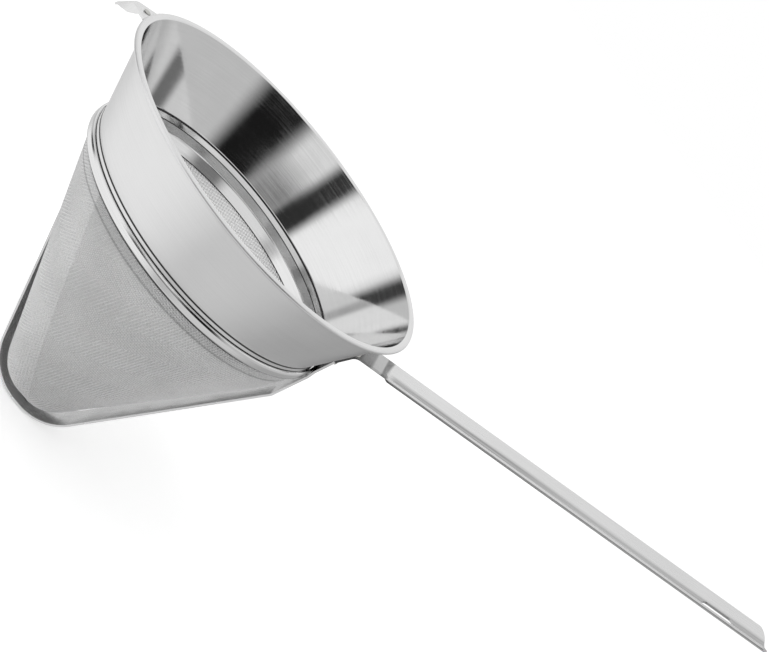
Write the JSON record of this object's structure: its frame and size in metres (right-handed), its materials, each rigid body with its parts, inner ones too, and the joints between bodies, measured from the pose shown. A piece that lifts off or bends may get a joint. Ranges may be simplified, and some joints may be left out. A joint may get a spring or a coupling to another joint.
{
  "type": "chinois strainer",
  "caption": "Conical fine-mesh strainer with a sheet collar, clamped wire cloth, guard strap, long dished handle and rest hook.",
  "frame": {"origin": "centre of the rim at half its height, on the cone's axis", "axes": "+Z along the cone's axis and out of the mouth, +X from the axis towards the handle's tip, the rest hook on -X"},
  "size_m": [0.4469, 0.2, 0.237],
  "materials": {
    "polished_sheet": "satin outside, mirror inside",
    "rolled_band": "polished",
    "wire_cloth": "woven fine wire",
    "brushed_strip": "brushed along its length",
    "weld": "ground weld"
  },
  "bodies": {
    "root": {"collar": "polished_sheet", "bead_ring": "rolled_band", "clamp_ring": "rolled_band", "mesh_cone": "wire_cloth", "mesh_seam": "wire_cloth", "guard_strap": "brushed_strip", "handle": "brushed_strip", "rest_hook": "brushed_strip", "handle_weld": "weld", "strap_weld": "weld", "strap_spot_welds": "weld", "hook_spot_weld": "weld"}
  },
  "joints": []
}
